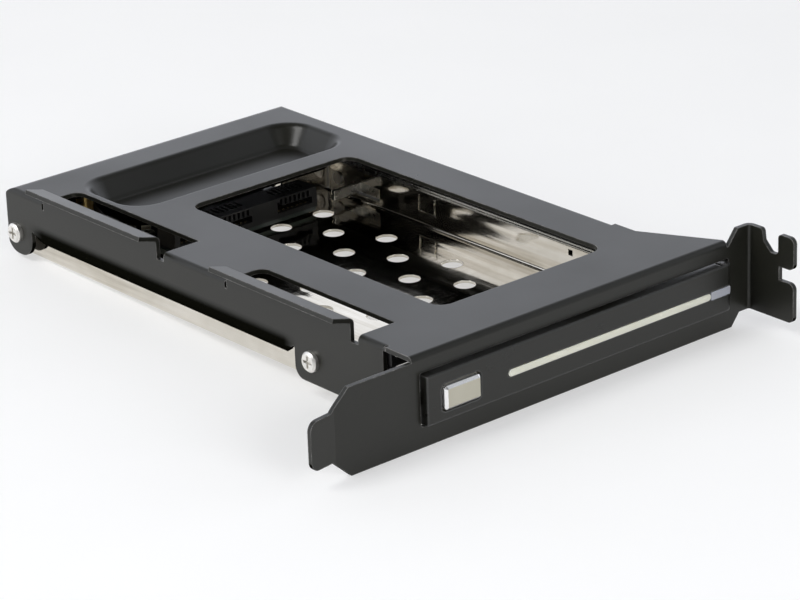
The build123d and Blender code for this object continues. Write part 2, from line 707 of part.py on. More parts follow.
def drive_cage():
    """Bright tray that carries the drive: floor, two low walls, two stop tabs, screw bosses."""
    outer = plain(CAGE_LEFT, CAGE_RIGHT, CAGE_BOTTOM, CAGE_WALL_TOP)
    outer = fillet(outer.vertices().group_by(Axis.Y)[0], CAGE_BEND + CAGE_SHEET)
    inner = plain(CAGE_IN_LEFT, CAGE_IN_RIGHT, CAGE_FLOOR, CAGE_WALL_TOP + 1)
    inner = fillet(inner.vertices().group_by(Axis.Y)[0], CAGE_BEND)
    tray = slab_y(outer - inner, CAGE_FRONT, CAGE_REAR)
    round_hole = RegularPolygon(HOLE_R, HOLE_SIDES)
    holes = Sketch() + [Pos(x, y) * round_hole for x, y in floor_holes()]
    tray -= slab_z(holes, CAGE_BOTTOM - BEYOND, CAGE_FLOOR + JOIN)
    tab_slot = plain(TAB_Y0 - SLIDE_TRAVEL - TAB_CLEAR, TAB_Y0 + TAB_T + TAB_CLEAR,
                     TAB_Z0 - TAB_CLEAR, TAB_Z1 + TAB_CLEAR)
    tray -= slab_x(tab_slot, CAGE_IN_RIGHT - BEYOND, CAGE_RIGHT + BEYOND)
    finger_end = FINGER_Y + FINGER_WIDTH
    finger_top = CAGE_WALL_TOP - BRIDGE_HEIGHT
    finger_cut = plain(FINGER_Y - FINGER_CUT, finger_end + FINGER_CUT, FINGER_Z - FINGER_CUT, finger_top)
    finger = plain(FINGER_Y, finger_end, FINGER_Z, finger_top)
    tray -= slab_x(finger_cut - finger, CAGE_IN_RIGHT - BEYOND, CAGE_RIGHT + BEYOND)
    tray -= block(CAGE_IN_RIGHT - BEYOND, CAGE_RIGHT + BEYOND, SLOT_Y, SLOT_Y + SLOT_SIZE,
                  SLOT_Z, SLOT_Z + SLOT_SIZE)
    stop_top = CAGE_WALL_TOP - STOP_DROP
    stop_y1 = STOP_WALL_Y + CAGE_SHEET
    left_end = BOARD_X0 - STOP_TO_BOARD
    right_end = BOARD_X1 + STOP_TO_BOARD
    tray += block(CAGE_IN_LEFT + STOP_SIDE, left_end, STOP_WALL_Y, stop_y1, CAGE_FLOOR - JOIN, stop_top)
    tray += block(right_end, CAGE_IN_RIGHT - STOP_SIDE, STOP_WALL_Y, stop_y1, CAGE_FLOOR - JOIN, stop_top)
    tray += block(BOARD_X1 - STOP_OVER_BOARD, right_end, STOP_WALL_Y, stop_y1,
                  BOARD_TOP + STOP_LIFT, stop_top)
    for y, boss in screw_points():
        tray += rod_x(WALL_IN_LEFT, CAGE_LEFT + JOIN, y, SCREW_Z, boss)
        tray += rod_x(CAGE_RIGHT - JOIN, WALL_IN_RIGHT, y, SCREW_Z, boss)
        bore = SCREW_R + THREAD_CLEAR
        tray -= rod_x(WALL_IN_LEFT - 1, CAGE_IN_LEFT + JOIN, y, SCREW_Z, bore)
        tray -= rod_x(CAGE_IN_RIGHT - JOIN, WALL_IN_RIGHT + BEYOND, y, SCREW_Z, bore)
    tray -= rod_x(CAGE_IN_RIGHT - 1, CAGE_RIGHT + 1, RIVET_Y, RIVET_Z, RIVET_R + SEAT_FIT)
    return tray


def cross_recess(scale):
    """Cross recess for a driver, to be cut at the top of a screw head."""
    length = CROSS_LENGTH * scale
    width = CROSS_WIDTH * scale
    height = 2 * CROSS_DEPTH * scale
    return Box(length, width, height) + Box(width, length, height)


def pan_head_screw(y, side):
    """A pan head screw on one side wall; side is -1 on the left and 1 on the right."""
    shank_length = SHEET + (CAGE_IN_LEFT - WALL_IN_LEFT)
    head = Cylinder(SCREW_HEAD_R, SCREW_HEAD_H, align=(Align.CENTER, Align.CENTER, Align.MIN))
    head = chamfer(head.edges().group_by(Axis.Z)[-1], SCREW_HEAD_H / 3)
    head -= Pos(0, 0, SCREW_HEAD_H) * cross_recess(1)
    shank = Cylinder(SCREW_R, shank_length, align=(Align.CENTER, Align.CENTER, Align.MAX))
    screw = head + shank
    x = COVER_LEFT if side < 0 else COVER_RIGHT
    return Pos(x, y, SCREW_Z) * Rot(0, 90 * side, 0) * screw


def cover_screws(side):
    return [pan_head_screw(y, side) for y, boss in screw_points()]


def hinge_bracket():
    """C bracket behind the plate; its two hooked ears reach round the knuckle to hold the pin."""
    back = PIVOT_Y + KNUCKLE_R + EAR_PLAY
    rear = SHEET + EAR_REACH
    base_x0 = OPENING_X1 + EAR_PLAY
    base_x1 = base_x0 + HINGE_BASE
    neck = plain(PIVOT_X - EAR_R, PIVOT_X, PIVOT_Y, rear)
    run = plain(PIVOT_X - EAR_R, base_x1, back, rear)
    eye = Pos(PIVOT_X, PIVOT_Y) * Circle(EAR_R)
    ear_shape = neck + run + eye
    low = slab_z(ear_shape, DOOR_Z0, DOOR_Z0 + EAR_SHEET)
    high = slab_z(ear_shape, DOOR_Z1 - EAR_SHEET, DOOR_Z1)
    base = block(base_x0, base_x1, SHEET, rear, DOOR_Z0, DOOR_Z1)
    bore = rod_z(DOOR_Z0 - BEYOND, DOOR_Z1 + BEYOND, PIVOT_X, PIVOT_Y, PIN_R + SEAT_FIT)
    return low + high + base - bore


def hinge_pin():
    return rod_z(DOOR_Z0, DOOR_Z1, PIVOT_X, PIVOT_Y, PIN_R)


def button_opening(grow):
    return rounded(BUTTON_X0 - grow, BUTTON_X0 + BUTTON_WIDTH + grow,
                   BUTTON_Z0 - grow, BUTTON_Z0 + BUTTON_HEIGHT + grow, BUTTON_CORNER + grow)


def guide_outline(grow):
    half = GUIDE_HEIGHT / 2 + grow
    return rounded(GUIDE_X0 - grow, GUIDE_X1 + grow, GUIDE_Z - half, GUIDE_Z + half, half - TINY)


def guide_end_outline(grow):
    half = GUIDE_END_HEIGHT / 2 + grow
    return rounded(GUIDE_X1 + GUIDE_END_GAP - grow, DOOR_X1 - GUIDE_END_RIGHT + grow,
                   GUIDE_Z - half, GUIDE_Z + half, DOOR_EDGE)


def door_body():
    """Outer form of the door: a bar with a rounded hinge end and softened front edges."""
    profile = plain(DOOR_X0, PIVOT_X, DOOR_FRONT, DOOR_BACK) + Pos(PIVOT_X, PIVOT_Y) * Circle(KNUCKLE_R)
    bar = slab_z(profile, DOOR_Z0, DOOR_Z1)
    front = bar.faces().filter_by(Axis.Y).sort_by(Axis.Y)[0].edges()
    kept = front.filter_by(lambda e: e.center().X < PIVOT_X - DOOR_EDGE)
    bar = fillet(kept, DOOR_EDGE)
    hollow = block(DOOR_X0 + DOOR_SKIN, HINGE_END_X - DOOR_SKIN, SKIN_BACK, DOOR_BACK + BEYOND,
                   DOOR_Z0 + DOOR_SKIN, DOOR_Z1 - DOOR_SKIN)
    return bar - hollow


def hinge_clearance():
    """What is cut at the hinge end: behind the skin between the ears, and round each ear."""
    knuckle = Pos(PIVOT_X, PIVOT_Y) * Circle(KNUCKLE_R)
    middle = plain(HINGE_END_X, PIVOT_X, SKIN_BACK, DOOR_BACK + BEYOND) - knuckle
    inner_r = KNUCKLE_R - KNUCKLE_SKIN
    behind = plain(HINGE_END_X, PIVOT_X, PIVOT_Y - inner_r, DOOR_BACK + BEYOND)
    beside = plain(PIVOT_X - 0.01, DOOR_X1 + 1, PIVOT_Y, DOOR_BACK + BEYOND)
    room = behind + beside + Pos(PIVOT_X, PIVOT_Y) * Circle(inner_r)
    low = slab_z(room, DOOR_Z0 - BEYOND, HINGE_Z0)
    high = slab_z(room, HINGE_Z1, DOOR_Z1 + BEYOND)
    return slab_z(middle, HINGE_Z0, HINGE_Z1) + low + high


def guide_posts():
    """Small posts behind the skin, above and below the flange of the light guide."""
    reach = GUIDE_HEIGHT / 2 + GUIDE_FLANGE + LATCH_PLAY
    posts = []
    for x in (LED_BOARD_X0 + POST_T, LED_BOARD_X1 - 2 * POST_T):
        for side in (-1, 1):
            z = sorted((GUIDE_Z + side * reach, GUIDE_Z + side * LED_BOARD_HALF))
            posts.append(block(x, x + POST_T, SKIN_BACK, LED_BOARD_Y0, z[0], z[1]))
    return posts


def door_panel():
    """Moulded door: flat face, rim, hinge knuckle, latch guides and the ejector arm."""
    door = door_body() - hinge_clearance()
    door -= block(SLIDE_X0 - FORK_ROOM, HINGE_END_X + JOIN, SKIN_BACK, DOOR_BACK + BEYOND,
                  FORK_Z - FORK_ROOM, FORK_Z + FORK_T + 2 * FORK_ROOM)
    arm = Pos(ARM_PIN_X, ARM_PIN_Y) * Circle(ARM_HALF_WIDTH)
    arm += plain(ARM_PIN_X - ARM_HALF_WIDTH, ARM_PIN_X + ARM_HALF_WIDTH, SKIN_BACK, ARM_PIN_Y)
    door += slab_z(arm, DOOR_Z0, DOOR_Z0 + DOOR_SKIN)
    door -= rod_z(DOOR_Z0 - BEYOND, DOOR_Z0 + DOOR_SKIN + 1, ARM_PIN_X, ARM_PIN_Y, ARM_PIN_R + SEAT_FIT)
    half = LATCH_HEIGHT / 2 + LATCH_PLAY
    door -= block(DOOR_X0 - 1, DOOR_X0 + DOOR_SKIN + 0.1, LATCH_Y0 - LATCH_PLAY,
                  LATCH_Y0 + LATCH_T + LATCH_PLAY, LATCH_Z - half, LATCH_Z + half)
    rib_x = LATCH_END_X + LATCH_SPRING_LENGTH
    door += block(rib_x, rib_x + RIB_T, SKIN_BACK, DOOR_BACK, LATCH_Z - RIB_HALF, LATCH_Z + RIB_HALF)
    for post in guide_posts():
        door += post
    door -= slab_y(button_opening(BUTTON_GAP), DOOR_FRONT - BEYOND, SKIN_BACK + JOIN)
    door -= slab_y(guide_outline(GUIDE_PLAY), DOOR_FRONT - BEYOND, SKIN_BACK + JOIN)
    door -= slab_y(guide_end_outline(GUIDE_PLAY), DOOR_FRONT - 1, DOOR_FRONT + GUIDE_END_DEPTH)
    door -= rod_z(DOOR_Z0 - BEYOND, DOOR_Z1 + BEYOND, PIVOT_X, PIVOT_Y, PIN_R + RUNNING_FIT)
    return door


def light_guide():
    """Strip that shows in the face of the door, held by a wider flange behind it."""
    strip = slab_y(guide_outline(0), DOOR_FRONT - GUIDE_PROUD, SKIN_BACK)
    flange = slab_y(guide_outline(GUIDE_FLANGE), SKIN_BACK, SKIN_BACK + GUIDE_FLANGE_T)
    return strip + flange


def light_guide_end():
    return slab_y(guide_end_outline(0), DOOR_FRONT - GUIDE_PROUD, DOOR_FRONT + GUIDE_END_DEPTH)


def led_board():
    return block(LED_BOARD_X0, LED_BOARD_X1, LED_BOARD_Y0, LED_BOARD_Y0 + LED_BOARD_T,
                 GUIDE_Z - LED_BOARD_HALF, GUIDE_Z + LED_BOARD_HALF)


def status_leds():
    """Side by side on the board, close behind the light guide."""
    chips = []
    width, depth, height = LED_SIZE
    for i in range(3):
        x = (GUIDE_X0 + GUIDE_X1) / 2 + (i - 1) * LED_PITCH
        chips.append(block(x - width / 2, x + width / 2, LED_BOARD_Y0 - depth, LED_BOARD_Y0,
                           GUIDE_Z - height / 2, GUIDE_Z + height / 2))
    return chips


def button():
    """Bevelled cap with a flange inside the door and a wedge that moves the latch."""
    x1 = BUTTON_X0 + BUTTON_WIDTH
    z1 = BUTTON_Z0 + BUTTON_HEIGHT
    front = DOOR_FRONT - BUTTON_PROUD
    flange_y0 = SKIN_BACK + BUTTON_PLAY
    flange_y1 = flange_y0 + BUTTON_FLANGE_T
    cap = slab_y(button_opening(0), front, flange_y0)
    cap = chamfer(cap.faces().sort_by(Axis.Y)[0].edges(), BUTTON_BEVEL)
    f = BUTTON_FLANGE
    flange = block(BUTTON_X0 - f, x1 + f, flange_y0, flange_y1, BUTTON_Z0 - f, z1 + f)
    wedge = polygon([
        (WEDGE_X - flange_y1 - WEDGE_WIDTH, flange_y1),
        (WEDGE_X - flange_y1, flange_y1),
        (WEDGE_X - WEDGE_TIP, WEDGE_TIP),
        (WEDGE_X - flange_y1 - WEDGE_WIDTH, WEDGE_TIP),
    ])
    return cap + flange + slab_z(wedge, LATCH_Z - WEDGE_HALF, LATCH_Z + WEDGE_HALF)


def latch_bolt():
    """Sliding bolt behind the plate; a slanted window in it follows the button's wedge."""
    y1 = LATCH_Y0 + LATCH_T
    outline = polygon([
        (LATCH_TIP_X, LATCH_Y0),
        (LATCH_END_X, LATCH_Y0),
        (LATCH_END_X, y1),
        (LATCH_TIP_X + LATCH_T, y1),
    ])
    bolt = slab_z(outline, LATCH_Z - LATCH_HEIGHT / 2, LATCH_Z + LATCH_HEIGHT / 2)
    slant = WEDGE_X + WEDGE_GAP * sqrt(2)
    left = WEDGE_X - WEDGE_TIP - WEDGE_WIDTH - 2 * LATCH_CATCH
    window = polygon([
        (left, LATCH_Y0 - 1),
        (slant - LATCH_Y0 + 1, LATCH_Y0 - 1),
        (slant - y1 - 1, y1 + 1),
        (left, y1 + 1),
    ])
    window_half = WEDGE_HALF + 2 * LATCH_PLAY
    return bolt - slab_z(window, LATCH_Z - window_half, LATCH_Z + window_half)


def coil(radius, wire, length, turns):
    """A compression spring along +Z from the origin."""
    path = Helix(pitch=(length - wire) / turns, height=length - wire, radius=radius)
    start = path @ 0
    section = Plane(origin=start, z_dir=path % 0) * Rectangle(wire, wire)
    return Pos(0, 0, wire / 2) * sweep(section, path=path, is_frenet=True)


def button_springs():
    """Two springs press the button out, above and below the latch."""
    y0 = SKIN_BACK + BUTTON_PLAY + BUTTON_FLANGE_T
    length = DOOR_BACK - y0
    offset = LATCH_HEIGHT / 2 + BUTTON_SPRING_R + SPRING_WIRE + LATCH_PLAY
    springs = []
    for z in (LATCH_Z - offset, LATCH_Z + offset):
        spring = coil(BUTTON_SPRING_R, SPRING_WIRE, length - 2 * SPRING_SEAT, 3)
        springs.append(Pos(WEDGE_X - 3, y0 + SPRING_SEAT, z) * Rot(-90, 0, 0) * spring)
    return springs


def latch_spring():
    """Pushes the bolt towards the edge of the opening."""
    spring = coil(LATCH_SPRING_R, SPRING_WIRE, LATCH_SPRING_LENGTH - 2 * SPRING_SEAT, 4)
    place = Pos(LATCH_END_X + SPRING_SEAT, LATCH_Y0 + LATCH_T / 2, LATCH_Z)
    return place * Rot(0, 90, 0) * spring


def door_back_plate():
    """Thin plate that closes the latch pocket at the back of the door."""
    margin = DOOR_SKIN / 2
    plate = plain(DOOR_X0 + margin, DOOR_X0 + BACK_PLATE_WIDTH, DOOR_Z0 + margin, DOOR_Z1 - margin)
    return slab_y(plate, DOOR_BACK, DOOR_BACK + BACK_PLATE_T)


def ejector_pin():
    return rod_z(DOOR_Z0, ARM_PIN_TOP, ARM_PIN_X, ARM_PIN_Y, ARM_PIN_R)


def ejector_slide():
    """Strip between cage and cover: fork at the hinge end, tab behind the drive."""
    front = ARM_PIN_Y - FORK_HALF
    rear = RIVET_Y + RIVET_R + SLIDE_SLOT_CLEAR + RIVET_MARGIN + SLIDE_TRAVEL
    strip = slab_x(rounded(front, rear, SLIDE_Z0, SLIDE_Z1, SLIDE_CORNER), SLIDE_X0, SLIDE_X1)
    boss_half = FRONT_BOSS_R + SLIDE_SLOT_CLEAR
    boss_slot = rounded(FRONT_SCREW_Y - boss_half, FRONT_SCREW_Y + SLIDE_TRAVEL + boss_half,
                        SCREW_Z - boss_half, SCREW_Z + boss_half, boss_half - TINY)
    rivet_half = RIVET_R + SLIDE_SLOT_CLEAR
    rivet_slot = rounded(RIVET_Y - rivet_half, RIVET_Y + SLIDE_TRAVEL + rivet_half,
                         RIVET_Z - rivet_half, RIVET_Z + rivet_half, rivet_half - TINY)
    strip -= slab_x(boss_slot + rivet_slot, SLIDE_X0 - 1, SLIDE_X1 + 1)
    strip += block(CAGE_IN_RIGHT - TAB_REACH, SLIDE_X1, TAB_Y0, TAB_Y0 + TAB_T, TAB_Z0, TAB_Z1)
    fork = plain(SLIDE_X0, FORK_END_X, ARM_PIN_Y - FORK_HALF, ARM_PIN_Y + FORK_HALF)
    pin_half = ARM_PIN_R + FORK_CLEAR
    deepest = PIVOT_X - ARM_R - pin_half
    fork -= plain(deepest, FORK_END_X + 1, ARM_PIN_Y - pin_half, ARM_PIN_Y + pin_half)
    return strip + slab_z(fork, FORK_Z, FORK_Z + FORK_T)


def ejector_rivet():
    """Guides the rear end of the ejector slide; its head is inside the cage."""
    shaft = rod_x(CAGE_IN_RIGHT - RIVET_HEAD_T, WALL_IN_RIGHT - SEAT_FIT, RIVET_Y, RIVET_Z, RIVET_R)
    head = rod_x(CAGE_IN_RIGHT - RIVET_HEAD_T, CAGE_IN_RIGHT, RIVET_Y, RIVET_Z, RIVET_HEAD_R)
    return shaft + head


def board_holes():
    y = SOCKET_Y0 + SOCKET_DEPTH + HOLE_BEHIND
    return [(BOARD_X0 + HOLE_INSET, y), (BOARD_X1 - HOLE_INSET, y)]


def backplane_board():
    """Circuit board that carries the drive connector and the two cable sockets."""
    outline = rounded(BOARD_X0, BOARD_X1, BOARD_Y0, BOARD_Y1, BOARD_CORNER)
    board = slab_z(outline, BOARD_BOTTOM, BOARD_TOP)
    for x, y in board_holes():
        board -= rod_z(BOARD_BOTTOM - 1, BOARD_TOP + 1, x, y, BOARD_SCREW_R + HOLE_PLAY)
    return board


def board_standoffs():
    rings = []
    for x, y in board_holes():
        ring = rod_z(CAGE_FLOOR, BOARD_BOTTOM, x, y, STANDOFF_R)
        rings.append(ring - rod_z(CAGE_FLOOR - 1, BOARD_BOTTOM + 1, x, y, BOARD_SCREW_R + HOLE_PLAY))
    return rings


def board_screws():
    screws = []
    for x, y in board_holes():
        head = rod_z(BOARD_TOP, BOARD_TOP + BOARD_HEAD_H, x, y, BOARD_HEAD_R)
        head = chamfer(head.edges().group_by(Axis.Z)[-1], BOARD_HEAD_H / 3)
        cross = Pos(x, y, BOARD_TOP + BOARD_HEAD_H) * cross_recess(BOARD_HEAD_R / SCREW_HEAD_R)
        screws.append(head - cross + rod_z(CAGE_FLOOR, BOARD_TOP, x, y, BOARD_SCREW_R))
    return screws


def contact_x(pins, centre):
    return [centre + (i - (pins - 1) / 2) * PIN_PITCH for i in range(pins)]


def power_centre():
    return SOCKET_CENTRE - SOCKET_WIDTH / 2 + SOCKET_WALL + POCKET_ROOM + POWER_PINS * PIN_PITCH / 2


def data_centre():
    return SOCKET_CENTRE + SOCKET_WIDTH / 2 - SOCKET_WALL - POCKET_ROOM - DATA_PINS * PIN_PITCH / 2


def pocket_sketch(centre, pins, z_mid):
    """Mouth of a socket for one keyed row of contacts: an L-shaped slot."""
    half = pins * PIN_PITCH / 2 + POCKET_END
    low = z_mid - POCKET_HALF
    high = z_mid + POCKET_HALF
    mouth = plain(centre - half, centre + half, low, high)
    key = plain(centre - half, centre - half + KEY_WIDTH, low, high + KEY_HEIGHT)
    return mouth + key


def drive_connector():
    """Receptacle that the drive plugs into, open to the front, with a comb of ribs on top."""
    x0 = SOCKET_CENTRE - SOCKET_WIDTH / 2
    x1 = SOCKET_CENTRE + SOCKET_WIDTH / 2
    y1 = SOCKET_Y0 + SOCKET_DEPTH
    z1 = BOARD_TOP + SOCKET_HEIGHT
    body = block(x0, x1, SOCKET_Y0, y1, BOARD_TOP, z1)
    z_mid = BOARD_TOP + POCKET_MID
    for centre, pins in ((power_centre(), POWER_PINS), (data_centre(), DATA_PINS)):
        body -= slab_y(pocket_sketch(centre, pins, z_mid), SOCKET_Y0 - BEYOND, y1 - SOCKET_WALL)
        for x in contact_x(pins, centre):
            half = COMB_WIDTH / 2
            body -= block(x - half, x + half, SOCKET_Y0 - BEYOND, SOCKET_Y0 + COMB_DEPTH,
                          z1 - COMB_BOTTOM, z1 - COMB_TOP)
            body -= block(x - half, x + half, SOCKET_Y0 + 2 * COMB_DEPTH, y1 - SOCKET_WALL,
                          z1 - COMB_TOP, z1 + 1)
    return body


def drive_contacts():
    """Contact blades on the floor of both pockets of the drive connector."""
    z = BOARD_TOP + POCKET_MID - POCKET_HALF
    blades = []
    for centre, pins in ((power_centre(), POWER_PINS), (data_centre(), DATA_PINS)):
        for x in contact_x(pins, centre):
            half = CONTACT_WIDTH / 2
            blades.append(block(x - half, x + half, SOCKET_Y0 + COMB_DEPTH,
                                SOCKET_Y0 + SOCKET_DEPTH - SOCKET_WALL, z, z + CONTACT_T))
    return blades


def rear_socket_limits(pins, centre):
    half = pins * PIN_PITCH / 2 + REAR_SOCKET_END
    y1 = BOARD_Y1 + REAR_SOCKET_OVERHANG
    return centre - half, centre + half, y1 - REAR_SOCKET_DEPTH, y1


def rear_socket(pins, centre):
    """Cable socket at the rear edge of the board: a shroud with a contact tongue inside."""
    x0, x1, y0, y1 = rear_socket_limits(pins, centre)
    z0 = BOARD_TOP
    z1 = z0 + REAR_SOCKET_HEIGHT
    wall = SOCKET_WALL
    floor = y0 + REAR_SOCKET_FLOOR
    shroud = block(x0, x1, y0, y1, z0, z1)
    shroud -= block(x0 + wall, x1 - wall, floor, y1 + BEYOND, z0 + wall, z1 - wall)
    half = pins * PIN_PITCH / 2 + POCKET_END
    z_mid = (z0 + z1) / 2
    low = z_mid - REAR_TONGUE_HALF
    high = z_mid + REAR_TONGUE_HALF
    tip = y1 - REAR_TONGUE_BACK
    tongue = block(centre - half, centre + half, floor - JOIN, tip, low, high)
    key = block(centre - half, centre - half + KEY_WIDTH, floor - JOIN, tip, low, high + KEY_HEIGHT)
    return shroud + tongue + key


def rear_contacts():
    """Contact blades under the tongues of both rear sockets."""
    blades = []
    z = BOARD_TOP + REAR_SOCKET_HEIGHT / 2 - REAR_TONGUE_HALF
    for pins, centre in ((POWER_PINS, rear_power_centre()), (DATA_PINS, rear_data_centre())):
        limits = rear_socket_limits(pins, centre)
        for x in contact_x(pins, centre):
            half = CONTACT_WIDTH / 2
            blades.append(block(x - half, x + half, limits[2] + REAR_SOCKET_FLOOR,
                                limits[3] - 2 * REAR_TONGUE_BACK, z - CONTACT_T, z))
    return blades


def rear_power_centre():
    return BOARD_X0 + REAR_SOCKET_INSET + POWER_PINS * PIN_PITCH / 2 + REAR_SOCKET_END


def rear_data_centre():
    return BOARD_X1 - REAR_SOCKET_INSET - DATA_PINS * PIN_PITCH / 2 - REAR_SOCKET_END


def board_components():
    """Capacitors, a coil and a small chip between the connectors."""
    y = SOCKET_Y0 + SOCKET_DEPTH + CHIP_BEHIND
    x0 = SOCKET_CENTRE - CHIP_START
    parts = []
    for i in range(4):
        parts.append(on_board(x0 + CHIP_PITCH * i, y, CHIP_SIZE))
    parts.append(on_board(x0 + CHIP_PITCH * 4 + 1, y, REGULATOR_SIZE))
    parts.append(on_board(x0, y + 2 * CHIP_SIZE[1], INDUCTOR_SIZE))
    return parts


def on_board(x, y, size):
    """A block of the given size that stands on the board."""
    return block(x, x + size[0], y, y + size[1], BOARD_TOP, BOARD_TOP + size[2])


def round_capacitor():
    """Tall round capacitor near the left end of the board, seen through the rear opening."""
    x = BOARD_X0 + CAPACITOR_INSET
    y = SOCKET_Y0 + SOCKET_DEPTH + CAPACITOR_BEHIND
    can = rod_z(BOARD_TOP, BOARD_TOP + CAPACITOR_HEIGHT, x, y, CAPACITOR_R)
    return chamfer(can.edges().group_by(Axis.Z)[-1], CAPACITOR_R / 8)


def save(name, shape):
    """Move a piece, or a group of pieces, to the part's origin and write it."""
    pieces = shape if isinstance(shape, list) else [shape]
    shift = Pos(-ORIGIN_X, -ORIGIN_Y, 0)
    solids = []
    for piece in pieces:
        solids += (shift * piece).solids()
    group = solids[0] if len(solids) == 1 else Compound(children=solids)
    export_step(group, os.path.join("parts", name + ".step"))


def main():
    os.makedirs("parts", exist_ok=True)
    save("slot_bracket_cover", slot_bracket_cover())
    save("drive_cage", drive_cage())
    save("cover_screws_left", cover_screws(-1))
    save("cover_screws_right", cover_screws(1))
    save("hinge_bracket", hinge_bracket())
    save("hinge_pin", hinge_pin())
    save("door_panel", door_panel())
    save("door_back_plate", door_back_plate())
    save("light_guide", light_guide())
    save("light_guide_end", light_guide_end())
    save("led_board", led_board())
    save("status_leds", status_leds())
    save("button", button())
    save("button_springs", button_springs())
    save("latch_bolt", latch_bolt())
    save("latch_spring", latch_spring())
    save("ejector_pin", ejector_pin())
    save("ejector_slide", ejector_slide())
    save("ejector_rivet", ejector_rivet())
    save("backplane_board", backplane_board())
    save("board_standoffs", board_standoffs())
    save("board_screws", board_screws())
    save("board_components", board_components())
    save("round_capacitor", round_capacitor())
    save("drive_connector", drive_connector())
    save("drive_contacts", drive_contacts())
    save("data_socket", rear_socket(DATA_PINS, rear_data_centre()))
    save("power_socket", rear_socket(POWER_PINS, rear_power_centre()))
    save("rear_contacts", rear_contacts())


main()
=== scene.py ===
import json
import math

import bmesh
import bpy
from mathutils import Matrix, Vector


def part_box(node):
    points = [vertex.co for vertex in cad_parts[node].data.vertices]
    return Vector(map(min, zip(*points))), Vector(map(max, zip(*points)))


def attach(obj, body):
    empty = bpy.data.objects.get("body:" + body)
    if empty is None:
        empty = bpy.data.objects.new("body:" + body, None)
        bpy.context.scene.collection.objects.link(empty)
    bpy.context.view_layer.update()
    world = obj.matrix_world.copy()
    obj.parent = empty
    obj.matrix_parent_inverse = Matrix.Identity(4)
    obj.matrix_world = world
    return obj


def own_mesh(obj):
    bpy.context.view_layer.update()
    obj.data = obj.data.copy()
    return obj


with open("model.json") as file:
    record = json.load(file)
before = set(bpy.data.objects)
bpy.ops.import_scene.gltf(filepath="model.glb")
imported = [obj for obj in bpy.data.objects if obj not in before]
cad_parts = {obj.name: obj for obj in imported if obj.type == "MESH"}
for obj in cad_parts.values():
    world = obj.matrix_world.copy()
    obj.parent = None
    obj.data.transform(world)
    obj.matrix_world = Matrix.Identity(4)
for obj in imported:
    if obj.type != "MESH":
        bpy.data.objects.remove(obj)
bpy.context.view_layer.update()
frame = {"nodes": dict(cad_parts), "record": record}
NODES = frame["nodes"]

MM = 0.001

# Camera fitted to the photograph: place in mm of the part, its axes, and focal length in pixels
IMAGE_WIDTH_PX = 800
FOCAL_PX = 3457.3
SENSOR_MM = 36.0
CAMERA_PLACE = Vector((-426.91, -526.13, 279.19)) * MM
CAMERA_RIGHT = Vector((0.75621, -0.65354, -0.03219))
CAMERA_UP = Vector((0.26912, 0.26581, 0.92570))
CAMERA_BACK = Vector((-0.59642, -0.70869, 0.37689))
CAMERA_CLIP = (0.01, 20.0)


def box_of(node):
    low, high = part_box(node)
    return Vector(low), Vector(high)


# Node helpers

# Socket numbers of a Mix node that mixes colours
MIX_FACTOR, MIX_A, MIX_B, MIX_RESULT = 0, 6, 7, 2
# Nearly all values of a noise lie in this span
NOISE_SPAN = (0.3, 0.7)
EDGE_GAIN = 6.0
# Height of a unit normal from which a surface counts as facing down, and where that is full
UNDERSIDE_FADE = (-0.03, -0.16)


class Nodes:
    """The nodes of one tree. Methods that add nodes for a value return its output socket."""

    def __init__(self, tree):
        self.tree = tree

    def add(self, kind, **values):
        node = self.tree.nodes.new(kind)
        for key, value in values.items():
            setattr(node, key, value)
        return node

    def feed(self, value, entry):
        """Link a socket to an input, or set the input to a number or a three-part colour."""
        if isinstance(value, bpy.types.NodeSocket):
            self.tree.links.new(value, entry)
        elif isinstance(value, tuple):
            entry.default_value = (*value, 1.0)
        else:
            entry.default_value = value

    def remap(self, value, low, high, from_low=0.0, from_high=1.0):
        """The value taken from one range to another, and held inside it."""
        node = self.add("ShaderNodeMapRange")
        node.inputs["From Min"].default_value = from_low
        node.inputs["From Max"].default_value = from_high
        node.inputs["To Min"].default_value = low
        node.inputs["To Max"].default_value = high
        self.feed(value, node.inputs["Value"])
        return node.outputs["Result"]

    def combine(self, operation, *values, use_clamp=False):
        node = self.add("ShaderNodeMath", operation=operation, use_clamp=use_clamp)
        for value, entry in zip(values, node.inputs):
            self.feed(value, entry)
        return node.outputs["Value"]

    def axis(self, vector, letter):
        """One coordinate of a vector."""
        node = self.add("ShaderNodeSeparateXYZ")
        self.feed(vector, node.inputs["Vector"])
        return node.outputs[letter]


